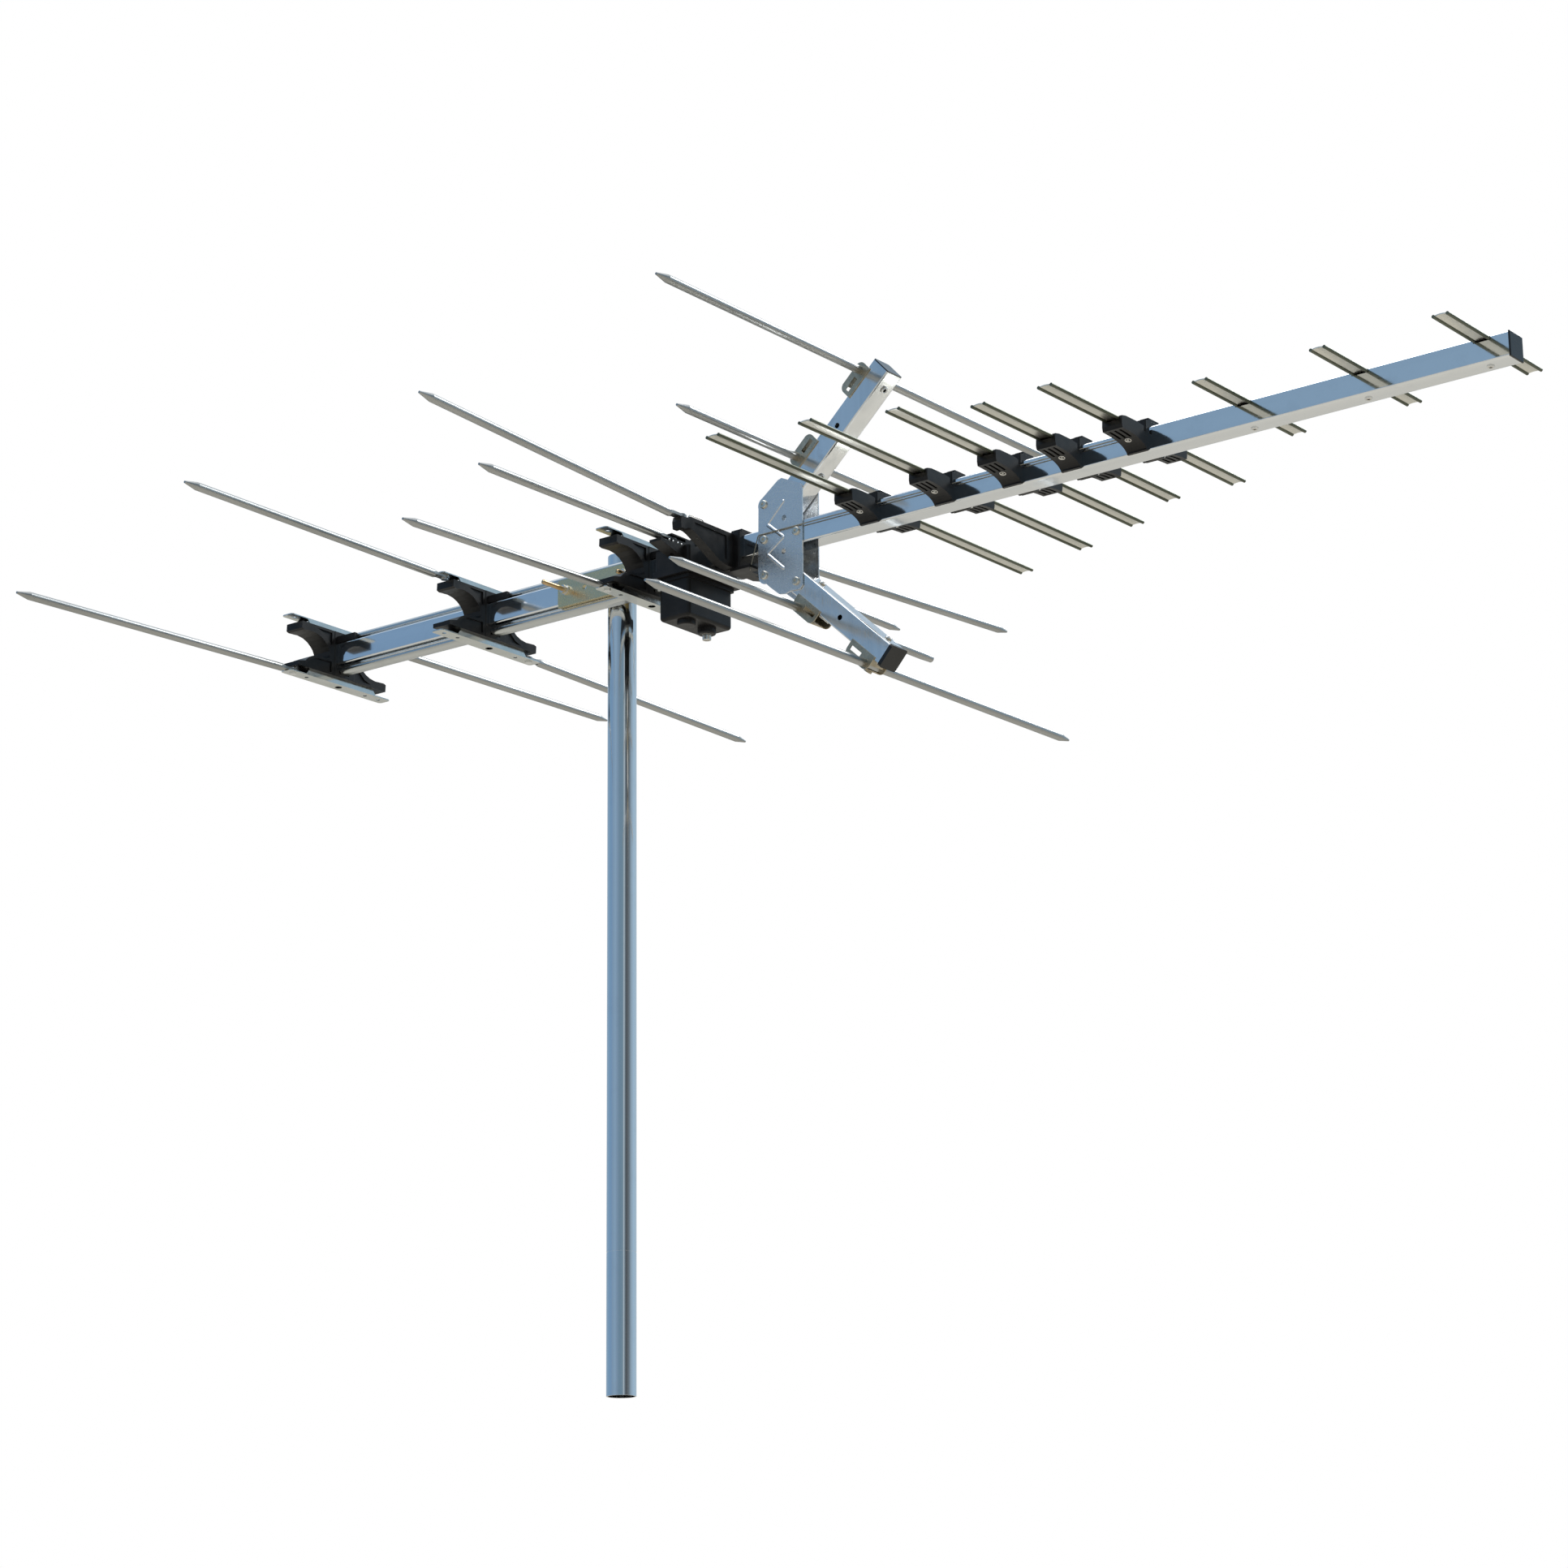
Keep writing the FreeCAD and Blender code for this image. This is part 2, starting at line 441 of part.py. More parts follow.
# detent rivets that stop short of the arm
for s in (-1, 1):
    y0, y1 = (-yb, -pg) if s < 0 else (pg, yb)
    d = cyl(3.0, (277.8, y0, -55.0), (0, 1, 0), y1 - y0)
    yo = y0 if s < 0 else y1
    hd = Part.makeCylinder(4.6, 2.2, V(277.8, yo, -55.0), V(0, s, 0))
    hd = hd.makeFillet(1.2, [e for e in hd.Edges if e.BoundBox.YLength < 0.01 and abs(e.BoundBox.YMin - (yo + s * 2.2)) < 0.01])
    hd = fuse(d, hd).cut(cyl(1.6, (277.8, yo + s * 1.0, -55.0), (0, s, 0), 2.0))
    bolts.append(hd)
put(group(*bolts), "bracket_bolts")

# ---------------------------------------------------------------- corner reflector: arms, caps, rod clips, rods
ca, sa = math.cos(math.radians(arm_deg)), math.sin(math.radians(arm_deg))


def A(s, n):
    # point at s along the arm and n behind its front edge line, in (x, z)
    return (arm_edge[0] + s * ca - n * sa, arm_edge[1] + s * sa + n * ca)


def quad(s0, s1, n0, n1, y0, y1):
    return poly_y([A(s0, n0), A(s1, n0), A(s1, n1), A(s0, n1)], y0, y1)


def long_edges(sh, lmin):
    return [e for e in sh.Edges if e.Length > lmin and len(e.Vertexes) == 2]


def n_cyl(r, s0, y, n0, n1):
    # cylinder across the arm, along its depth direction
    x0, z0 = A(s0, n0)
    return Part.makeCylinder(r, n1 - n0, V(x0, y, z0), V(-sa, 0, ca))


def build_arm():
    s = quad(0.0, arm_len, 0.0, arm_w, -H, H)
    s = s.makeFillet(2.0, long_edges(s, arm_len - 1))
    s = s.cut(quad(-2.0, arm_len + 2.0, arm_wall, arm_w - arm_wall, -H + arm_wall, H - arm_wall))
    # two ears round the pivot
    for y0, y1 in ((-H, -H + 1.8), (H - 1.8, H)):
        s = s.fuse(cyl(9.0, (arm_pivot[0], y0, arm_pivot[1]), (0, 1, 0), y1 - y0))
    s = s.cut(cyl(3.0 + pin_clear, (arm_pivot[0], -30, arm_pivot[1]), (0, 1, 0), 60))
    # cross holes
    mx, mz = A(121.5, arm_w / 2.0)
    s = s.cut(cyl(3.0, (mx, -30, mz), (0, 1, 0), 60))
    for s0 in ref_s:
        s = s.cut(n_cyl(2.2, s0, 0.0, -2, arm_w + 2))
    return s.removeSplitter()


def build_arm_cap(skirt):
    # thin lid on the open end of the arm, with a plug inside and, on the lower arm, a short skirt outside
    g = 0.5 if skirt else 0.0
    s = quad(arm_len, arm_len + 1.4, -g, arm_w + g, -H - g, H + g)
    s = s.makeFillet(2.0 + g, [e for e in s.Edges if abs(e.Length - 1.4) < 0.01])
    p = quad(arm_len - 8.0, arm_len + 0.7, arm_wall + 0.1, arm_w - arm_wall - 0.1, -H + arm_wall + 0.1, H - arm_wall - 0.1)
    s = s.fuse(p)
    if skirt:
        k = quad(arm_len - 3.0, arm_len + 0.5, -g, arm_w + g, -H - g, H + g)
        k = k.makeFillet(2.0 + g, [e for e in k.Edges if abs(e.Length - 3.5) < 0.01])
        i = quad(arm_len - 4.0, arm_len, 0.0, arm_w, -H, H)
        i = i.makeFillet(2.0, [e for e in i.Edges if abs(e.Length - 4.0) < 0.01])
        s = s.fuse(k.cut(i))
    return s.removeSplitter()


def build_clips():
    # saddle of folded sheet over each rod: two side cheeks outside the arm, a web on top, a spacer between arm and rod
    out = []
    top = ref_off + rod_r
    r = 7.0
    for i, s0 in enumerate(ref_s):
        sa_, sb_ = (s0 - 9.0, s0 + 29.0) if i == 0 else (s0 - 29.0, s0 + 9.0)
        cx, cz = A(s0, ref_off)
        n1 = top + 1.2
        prof = [(sa_, 21.0)] + [(sa_ + r + a, n1 - r + b) for a, b in arc_pts(0, 0, r, 180, 90, 8)]
        prof += [(sb_ - r + a, n1 - r + b) for a, b in arc_pts(0, 0, r, 90, 0, 8)] + [(sb_, 21.0)]
        pts = [A(a, b) for a, b in prof]
        c = poly_y(pts, -14.05, -12.85).fuse(poly_y(pts, 12.85, 14.05))
        c = c.fuse([quad(sa_ + r - 1.0, sb_ - r + 1.0, top - 0.3, n1, -14.05, 14.05), quad(s0 - 7.0, s0 + 7.0, arm_w, ref_off - 1.5, -13.0, 13.0)])
        sl = (s0 + 8.5, s0 + 25.0) if i == 0 else (s0 - 25.0, s0 - 8.5)
        c = c.cut(quad(sl[0], sl[1], 26.5, 31.5, -20, 20))
        c = c.cut(cyl(rod_r, (cx, -60, cz), (0, 1, 0), 120))
        c = c.cut(n_cyl(2.2, s0, 0.0, arm_w - 1, top + 3))
        out.append(c.removeSplitter())
        rv_ = n_cyl(2.2, s0, 0.0, -0.6, top + 1.6)
        rv_ = rv_.fuse([n_cyl(3.7, s0, 0.0, -1.4, 0.0), n_cyl(4.6, s0, 0.0, n1, n1 + 2.0)])
        rv_ = rv_.cut(n_cyl(1.5, s0, 0.0, -1.5, 4.0))
        out.append(rv_.removeSplitter())
    return group(*out)


def build_ref_rod(i, L, blunt=False):
    cx, cz = A(ref_s[i], ref_off)
    s = cyl(rod_r, (cx, -L + tip_len, cz), (0, 1, 0), 2 * (L - tip_len))
    s = s.fuse([Part.makeCone(rod_r, 4.0 if blunt else 1.3, tip_len, V(cx, L - tip_len, cz), V(0, 1, 0)),
                Part.makeCone(rod_r, 1.3, tip_len, V(cx, -L + tip_len, cz), V(0, -1, 0))])
    s = s.cut(n_cyl(2.2, ref_s[i], 0.0, 20, 45))
    return s.removeSplitter()


for name, f, halves in (("upper", lambda s: s, ref_half_upper), ("lower", flip_z, ref_half_lower)):
    put(f(build_arm()), name + "_arm")
    put(f(build_arm_cap(name == "lower")), name + "_arm_cap")
    put(f(build_clips()), name + "_rod_clips")
    put(f(build_ref_rod(0, halves[0], name == "lower")), name + "_inner_rod")
    put(f(build_ref_rod(1, halves[1])), name + "_outer_rod")

# ---------------------------------------------------------------- mast clamp
cp = box(-54.0, 50.0, -H - 2.4, -H, -14.0, 15.5)
cp = cp.makeFillet(2.5, [e for e in cp.Edges if abs(e.BoundBox.YLength - 2.4) < 0.01 and e.BoundBox.XLength < 0.01 and e.BoundBox.ZLength < 0.01])
cp = cp.fuse([box(-54.0, 50.0, -H - 2.4, -H + 6.0, -15.6, -13.9)])
cp = cp.cut(box(-60, 60, -H, H, -H - 0.9, H))
for x, z, r in ((-clamp_x, 3.0, 2.65), (clamp_x, 3.0, 2.65), (-15.4, 0.1, 3.0), (15.4, 0.1, 3.0)):
    cp = cp.cut(cyl(r, (x, -H - 5, z), (0, 1, 0), 10))
put(cp.removeSplitter(), "clamp_plate")

# U-bolt round the far side of the mast, legs through the boom; one leg stands out further than the other
ur = 2.6
tip_rear, tip_front = -52.0, -28.0
bend_r = 12.0
yback = boom_offset + m_r + 0.12 + ur
path = Part.Wire([
    Part.makeLine(V(-clamp_x, tip_rear, 3.0), V(-clamp_x, yback - bend_r, 3.0)),
    Part.Arc(V(-clamp_x, yback - bend_r, 3.0), V(-clamp_x + bend_r * (1 - math.sqrt(0.5)), yback - bend_r * (1 - math.sqrt(0.5)), 3.0), V(-clamp_x + bend_r, yback, 3.0)).toShape(),
    Part.makeLine(V(-clamp_x + bend_r, yback, 3.0), V(clamp_x - bend_r, yback, 3.0)),
    Part.Arc(V(clamp_x - bend_r, yback, 3.0), V(clamp_x - bend_r * (1 - math.sqrt(0.5)), yback - bend_r * (1 - math.sqrt(0.5)), 3.0), V(clamp_x, yback - bend_r, 3.0)).toShape(),
    Part.makeLine(V(clamp_x, yback - bend_r, 3.0), V(clamp_x, tip_front, 3.0))])
prof = Part.Wire([Part.makeCircle(ur, V(-clamp_x, tip_rear, 3.0), V(0, 1, 0))])
ubolt = path.makePipeShell([prof], True, True)
put(ubolt, "u_bolt")

# toothed jaw between boom and mast
jw = box(-52.0, 51.0, H + 0.05, boom_offset - 4.0, -13.0, 19.0)
jw = jw.cut(Part.makeCylinder(m_r + 0.06, 80, V(0, boom_offset, -30)))
jw = jw.cut(box(-37.0, -19.5, H + 2.4, 60, -40, 40)).cut(box(19.5, 37.0, H + 2.4, 60, -40, 40))
for x in (-clamp_x, clamp_x):
    jw = jw.cut(cyl(ur + 0.1, (x, 0, 3.0), (0, 1, 0), 60))
put(jw.removeSplitter(), "clamp_jaw")

nuts = []
for x in (-clamp_x, clamp_x):
    w = cyl(5.6, (x, -H - 2.4 - 1.2, 3.0), (0, 1, 0), 1.2).cut(cyl(ur, (x, -40, 3.0), (0, 1, 0), 60))
    nz = hexagon(4.9, x, 3.0, -H - 3.6 - 4.2, -H - 3.6, 12.0)
    nz = nz.cut(cyl(ur, (x, -40, 3.0), (0, 1, 0), 60))
    nuts += [w, nz]
put(group(*nuts), "clamp_nuts")

# ---------------------------------------------------------------- rolled strip elements
def roll_strip(x, y0, y1, z):
    # shallow trough, open downwards, with a rolled bead along each long edge
    hw = elem_w / 2.0 - bead_r
    n = 8
    top = [(x - hw + 2 * hw * i / n, z + 0.9 * math.sin(math.pi * i / n) + elem_t / 2.0) for i in range(n + 1)]
    bot = [(a, b - elem_t) for a, b in top]
    w = poly_y(top + bot[::-1], y0, y1)
    beads = [cyl(bead_r, (x + sx * hw, y0, z), (0, 1, 0), y1 - y0) for sx in (-1, 1)]
    return fuse(w, *beads)


screws = []
y_in = 23.0
for i, x in enumerate(uhf_x):
    L = uhf_half[i]
    put(group(roll_strip(x, -L, -y_in, uhf_z), roll_strip(x, y_in, L, uhf_z)), "uhf_element_%d" % (i + 1))

for i, x in enumerate(dir_x):
    put(roll_strip(x, -dir_half, dir_half, dir_z), "director_%d" % (i + 1))

# ---------------------------------------------------------------- insulators of the split strip elements
def uhf_ins(x):
    f = 11.6
    curve = bez((-15.2, -H), (-21.0, -2.0), (-58.5, -1.4), 12)
    pts = curve + [(-59.5, 3.0), (-59.0, 11.2), (-52.0, 12.6), (-30.0, 12.6), (-20.0, 11.4), (-20.0, 6.2), (0.0, 6.2), (0.0, -H)]
    w = poly_x(pts, x - f, x + f)
    s = w.fuse(flip_y(w))
    blk = box(x - f + 2.0, x + f, -H - 3.9, H + 3.9, -H, 19.5)
    blk = blk.makeFillet(1.2, [e for e in blk.Edges if e.BoundBox.ZLength > 30])
    step = box(x - f - 1.0, x + 2.0, -H - 1.0, H + 1.0, 8.0, 15.8)
    ridge = box(x + 1.0, x + f - 1.0, -9.5, 9.5, 19.0, 23.0)
    s = s.fuse([blk, step, ridge])
    # long grooves on the underside of each wing
    for k in (-6.0, 0.0, 6.0):
        for sg in (-1, 1):
            y0, y1 = (-55.0, -35.5) if sg < 0 else (35.5, 55.0)
            s = s.cut(box(x + k - 1.3, x + k + 1.3, y0, y1, -8.0, 2.2))
    s = s.cut(box(x - 60, x + 60, -H, H, -H, H))
    # seat of the strips and the way in from each side
    g = elem_w / 2.0 + 0.02
    for sg in (-1, 1):
        y0, y1 = (-80.0, -y_in + 0.02) if sg < 0 else (y_in - 0.02, 80.0)
        s = s.cut(box(x - g, x + g, y0, y1, uhf_z - bead_r - 0.02, uhf_z + bead_r + 0.02))
    s = s.cut(cyl(wire_r, (x - 30, -wire_y, wire_z), (1, 0, 0), 60))
    for sg in (-1, 1):
        s = s.cut(cyl(1.6, (x, sg * 31.0, -20), (0, 0, 1), 60))
    return s.removeSplitter()


for i, x in enumerate(uhf_x):
    put(uhf_ins(x), "uhf_insulator_%d" % (i + 1))
    for sg in (-1, 1):
        # rivet up through the wing: shank stops at the strip's underside
        zz = -4.6
        h = cyl(3.0, (x, sg * 31.0, zz - 1.2), (0, 0, 1), 1.2)
        sh = cyl(1.55, (x, sg * 31.0, zz - 0.2), (0, 0, 1), (uhf_z + 0.84 - elem_t / 2.0) - zz + 0.1)
        screws.append((h, sh))

# boom rivets that hold the directors, with round heads under the boom
rv = []
for x in rivet_x:
    h = Part.makeCylinder(3.8, 1.3, V(x, 0, -H - 1.3), V(0, 0, 1))
    h = h.makeFillet(0.9, [e for e in h.Edges if e.BoundBox.ZMax < -H - 1.29])
    rv.append(fuse(h, cyl(2.0, (x, 0, -H - 0.2), (0, 0, 1), boom_wall + 1.4), cyl(3.0, (x, 0, -H + boom_wall), (0, 0, 1), 1.0)))
uh = []
for k, (h, sh) in enumerate(screws):
    uh.append(sh)
put(group(*(uh + rv)), "boom_rivets")

# ---------------------------------------------------------------- phasing wire along the right side of the boom
p = [V(uhf_x[4] + 8.0, -wire_y, wire_z), V(231.0, -wire_y, wire_z)]
w1 = Part.makeLine(p[0], p[1])
c1 = Part.Arc(V(231.0, -wire_y, wire_z), V(228.8, -wire_y, wire_z - 0.9), V(227.8, -wire_y, wire_z - 3.2)).toShape()
w2 = Part.makeLine(V(*wire_top), V(*wire_end))
wire = Part.Wire([w1, c1, w2])
pr = Part.Wire([Part.makeCircle(wire_r, p[0], V(1, 0, 0))])
put(wire.makePipeShell([pr], True, True), "phasing_wire")
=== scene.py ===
import math
import bmesh
import bpy
from mathutils import Matrix, Vector


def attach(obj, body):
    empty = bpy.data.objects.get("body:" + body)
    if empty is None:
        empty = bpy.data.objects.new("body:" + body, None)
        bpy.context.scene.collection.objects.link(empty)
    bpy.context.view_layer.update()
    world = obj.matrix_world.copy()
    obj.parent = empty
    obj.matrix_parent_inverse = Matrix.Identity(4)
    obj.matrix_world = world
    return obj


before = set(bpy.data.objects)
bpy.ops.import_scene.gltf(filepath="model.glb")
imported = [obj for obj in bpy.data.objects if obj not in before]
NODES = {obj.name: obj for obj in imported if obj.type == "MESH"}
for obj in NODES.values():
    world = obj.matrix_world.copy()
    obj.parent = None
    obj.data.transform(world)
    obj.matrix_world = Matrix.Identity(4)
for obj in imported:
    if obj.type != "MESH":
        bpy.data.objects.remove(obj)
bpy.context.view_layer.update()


# ---------------------------------------------------------------- node helpers
def lin(c):
    return tuple(((v / 255 + 0.055) / 1.055) ** 2.4 if v > 10 else v / 255 / 12.92 for v in c) + (1.0,)


class Mat:
    """A small builder for node materials."""

    def __init__(self, name):
        self.m = bpy.data.materials.new(name)
        self.m.use_nodes = True
        self.t = self.m.node_tree
        self.t.nodes.clear()
        self.out = self.t.nodes.new("ShaderNodeOutputMaterial")
        self.p = self.t.nodes.new("ShaderNodeBsdfPrincipled")
        self.t.links.new(self.p.outputs[0], self.out.inputs[0])
        self.tc = self.t.nodes.new("ShaderNodeTexCoord")

    def link(self, a, b):
        self.t.links.new(a, b)

    def n(self, kind, **kw):
        node = self.t.nodes.new(kind)
        for k, v in kw.items():
            setattr(node, k, v)
        return node

    def mapped(self, scale, rot=(0, 0, 0)):
        m = self.n("ShaderNodeMapping")
        m.inputs["Scale"].default_value = scale
        m.inputs["Rotation"].default_value = rot
        self.link(self.tc.outputs["Object"], m.inputs["Vector"])
        return m.outputs[0]

    def noise(self, scale, detail=3.0, vec=None, rough=0.5, size=1.0):
        x = self.n("ShaderNodeTexNoise")
        x.inputs["Scale"].default_value = size
        x.inputs["Detail"].default_value = detail
        x.inputs["Roughness"].default_value = rough
        self.link(vec if vec is not None else self.mapped(scale), x.inputs["Vector"])
        return x.outputs["Fac"]

    def ramp(self, fac, stops, interp="LINEAR"):
        r = self.n("ShaderNodeValToRGB")
        e = r.color_ramp.elements
        r.color_ramp.interpolation = interp
        while len(e) < len(stops):
            e.new(0.5)
        for el, (pos, col) in zip(e, stops):
            el.position = pos
            el.color = col if len(col) == 4 else tuple(col) + (1.0,)
        self.link(fac, r.inputs["Fac"])
        return r.outputs["Color"]

    def remap(self, fac, lo, hi, a=0.3, b=0.7):
        r = self.n("ShaderNodeMapRange")
        r.inputs["From Min"].default_value = a
        r.inputs["From Max"].default_value = b
        r.inputs["To Min"].default_value = lo
        r.inputs["To Max"].default_value = hi
        self.link(fac, r.inputs["Value"])
        return r.outputs["Result"]

    def math(self, op, a, b=None, c=None):
        x = self.n("ShaderNodeMath", operation=op)
        for i, v in enumerate((a, b, c)):
            if v is None:
                continue
            if isinstance(v, (int, float)):
                x.inputs[i].default_value = v
            else:
                self.link(v, x.inputs[i])
        return x.outputs[0]

    def mix(self, fac, a, b, mode="MIX"):
        x = self.n("ShaderNodeMix", data_type="RGBA", blend_type=mode)
        for i, v in ((0, fac), (6, a), (7, b)):
            if isinstance(v, (int, float)):
                x.inputs[i].default_value = v
            elif isinstance(v, tuple):
                x.inputs[i].default_value = v if len(v) == 4 else v + (1.0,)
            else:
                self.link(v, x.inputs[i])
        return x.outputs[2]

    def bump(self, height, strength, dist, normal=None):
        b = self.n("ShaderNodeBump")
        b.inputs["Strength"].default_value = strength
        b.inputs["Distance"].default_value = dist
        self.link(height, b.inputs["Height"])
        if normal is not None:
            self.link(normal, b.inputs["Normal"])
        return b.outputs[0]

    def set(self, **kw):
        for k, v in kw.items():
            s = self.p.inputs[k.replace("_", " ")]
            if hasattr(v, "node"):
                self.link(v, s)
            else:
                s.default_value = v if not (isinstance(v, tuple) and len(v) == 3) else v + (1.0,)
        return self


def drawn_metal(name, base, dark, rough=(0.08, 0.2), along="X", lines=900.0, wave=0.0003, line_strength=0.06, spots=0.35):
    """Rolled or drawn metal: fine lines along its length, slow waviness, faint stains and handling marks."""
    M = Mat(name)
    i = "XYZ".index(along)
    fine = [lines] * 3; fine[i] = 2.5
    mid = [60.0] * 3; mid[i] = 3.0
    slow = [26.0] * 3; slow[i] = 7.0
    nf = M.noise(tuple(fine), 2.0)
    nm = M.noise(tuple(mid), 3.0)
    ns = M.noise(tuple(slow), 2.0)
    blot = M.noise((38.0, 38.0, 38.0), 4.0, rough=0.6)
    col = M.mix(M.remap(nm, 0.0, 0.6, 0.35, 0.75), base + (1.0,), dark + (1.0,))
    stain = M.remap(blot, 0.0, spots, 0.55, 0.8)
    col = M.mix(stain, col, tuple(v * 0.82 for v in dark) + (1.0,))
    rr = M.math("ADD", M.remap(nf, rough[0], rough[1], 0.3, 0.7), M.math("MULTIPLY", stain, 0.10))
    b = M.bump(nf, line_strength, 0.00006)
    b = M.bump(ns, 0.35, wave, b)
    M.set(Base_Color=col, Metallic=1.0, Roughness=rr, Normal=b)
    return M.m


def zinc(name, base, tint_a, tint_b, rough=(0.14, 0.3), amount=0.5, scale=45.0, grain=0.08, wave=0.35):
    """Electroplated zinc: bright, with slow colour drift from the passivation and a fine crystalline haze."""
    M = Mat(name)
    drift = M.noise((scale, scale, scale), 3.0, rough=0.55)
    col = M.mix(M.remap(drift, 0.0, 1.0, 0.32, 0.68), tint_a + (1.0,), tint_b + (1.0,))
    col = M.mix(amount, base + (1.0,), col)
    haze = M.noise((420.0, 420.0, 420.0), 2.0)
    scr = M.noise((900.0, 14.0, 900.0), 2.0)
    rr = M.math("ADD", M.remap(haze, rough[0], rough[1], 0.3, 0.7), M.remap(scr, 0.0, 0.06, 0.45, 0.65))
    b = M.bump(haze, grain, 0.00006)
    b = M.bump(drift, wave, 0.0005, b)
    M.set(Base_Color=col, Metallic=1.0, Roughness=rr, Normal=b)
    return M.m


def plastic(name, base=(0.007, 0.0065, 0.0065), hi=(0.016, 0.015, 0.0155), rough=(0.26, 0.46), grain=1400.0, spec=0.3):
    """Moulded black plastic: fine grain, slow gloss change, dusty worn patches."""
    M = Mat(name)
    dust = M.noise((55.0, 55.0, 55.0), 5.0, rough=0.65)
    slow = M.noise((18.0, 18.0, 18.0), 2.0)
    fine = M.noise((grain, grain, grain), 2.0)
    f = M.remap(dust, 0.0, 1.0, 0.42, 0.78)
    col = M.mix(f, base + (1.0,), hi + (1.0,))
    rr = M.math("ADD", M.remap(slow, rough[0], rough[1], 0.3, 0.7), M.math("MULTIPLY", f, 0.12))
    b = M.bump(fine, 0.10, 0.00012)
    b = M.bump(slow, 0.25, 0.0006, b)
    M.set(Base_Color=col, Metallic=0.0, Roughness=rr, Normal=b)
    M.p.inputs["Specular IOR Level"].default_value = spec
    return M.m


def rod_metal(name):
    """Rolled aluminium rod: one dull grey finish all round, faint lines along its length and slow staining."""
    M = Mat(name)
    fine = M.noise((900.0, 2.5, 900.0), 2.0)
    slow = M.noise((40.0, 6.0, 40.0), 3.0)
    col = M.mix(M.remap(slow, 0.0, 1.0, 0.35, 0.7), (0.46, 0.465, 0.46, 1), (0.38, 0.385, 0.375, 1))
    M.set(Base_Color=col, Metallic=1.0, Roughness=M.remap(fine, 0.28, 0.36, 0.3, 0.7))
    return M.m


M_BOOM = drawn_metal("boom_metal", (0.90, 0.92, 0.94), (0.80, 0.83, 0.86), (0.05, 0.12), "X", 1100.0, 0.00025, 0.05, 0.25)
M_MAST = drawn_metal("mast_metal", (0.88, 0.90, 0.92), (0.78, 0.81, 0.84), (0.06, 0.14), "Z", 900.0, 0.0002, 0.05, 0.25)
M_ARM = drawn_metal("arm_metal", (0.88, 0.90, 0.92), (0.66, 0.69, 0.71), (0.10, 0.20), "Z", 700.0, 0.0014, 0.03, 0.75)
M_ROD = rod_metal("rod_metal")
M_RAIL = drawn_metal("rail_metal", (0.66, 0.68, 0.68), (0.52, 0.54, 0.54), (0.16, 0.26), "X", 1000.0, 0.0001, 0.04, 0.3)
M_RIVET = drawn_metal("rivet_metal", (0.86, 0.86, 0.85), (0.66, 0.66, 0.65), (0.15, 0.28), "Z", 600.0, 0.0001, 0.04, 0.3)
M_STRIP = zinc("strip_zinc_metal", (0.70, 0.71, 0.69), (0.74, 0.76, 0.76), (0.58, 0.61, 0.56), (0.12, 0.22))
M_BRACKET = zinc("bracket_metal", (0.76, 0.76, 0.76), (0.80, 0.80, 0.80), (0.68, 0.69, 0.70), (0.24, 0.32), 0.4, 22.0, 0.02, 0.08)
M_BOLT = zinc("bolt_metal", (0.70, 0.68, 0.62), (0.78, 0.76, 0.68), (0.50, 0.46, 0.38), (0.2, 0.32), 0.6, 160.0, 0.04)
M_YELLOW = zinc("yellow_zinc_metal", (0.74, 0.63, 0.40), (0.80, 0.66, 0.36), (0.62, 0.57, 0.42), (0.22, 0.30), 0.5, 26.0, 0.02, 0.12)
M_STUD = zinc("stud_metal", (0.62, 0.44, 0.25), (0.70, 0.50, 0.27), (0.50, 0.37, 0.22), (0.26, 0.36), 0.6, 60.0, 0.02, 0.08)
M_COPPER = zinc("wire_metal", (0.26, 0.25, 0.21), (0.34, 0.31, 0.25), (0.16, 0.16, 0.14), (0.28, 0.42), 0.6, 120.0)
M_NICKEL = zinc("nickel_metal", (0.80, 0.78, 0.74), (0.86, 0.85, 0.82), (0.64, 0.61, 0.56), (0.12, 0.26), 0.5, 200.0)
M_CLIP = zinc("clip_metal", (0.50, 0.43, 0.32), (0.56, 0.50, 0.39), (0.32, 0.29, 0.22), (0.24, 0.36), 0.7, 70.0, 0.04, 0.5)
M_PLASTIC = plastic("black_plastic_shiny")
M_CAP = plastic("cap_plastic", (0.008, 0.0078, 0.008), (0.018, 0.0175, 0.018), (0.14, 0.26), 1800.0, 0.45)
# the upper arm's cap: the same black plastic made glossier, with a blue tint in its colour that is painted sky
# reflection
M_CAP_UP = plastic("cap_plastic_glossy_painted_sky_tint", (0.012, 0.014, 0.018), (0.020, 0.024, 0.030), (0.06, 0.14), 1800.0, 0.9)
# near-black discs set into rivet and eyelet holes: painted shade, not a plastic part
M_HOLE_SHADE = plastic("painted_hole_shade", (0.002, 0.002, 0.002), (0.004, 0.004, 0.004), (0.5, 0.6), 1800.0, 0.1)


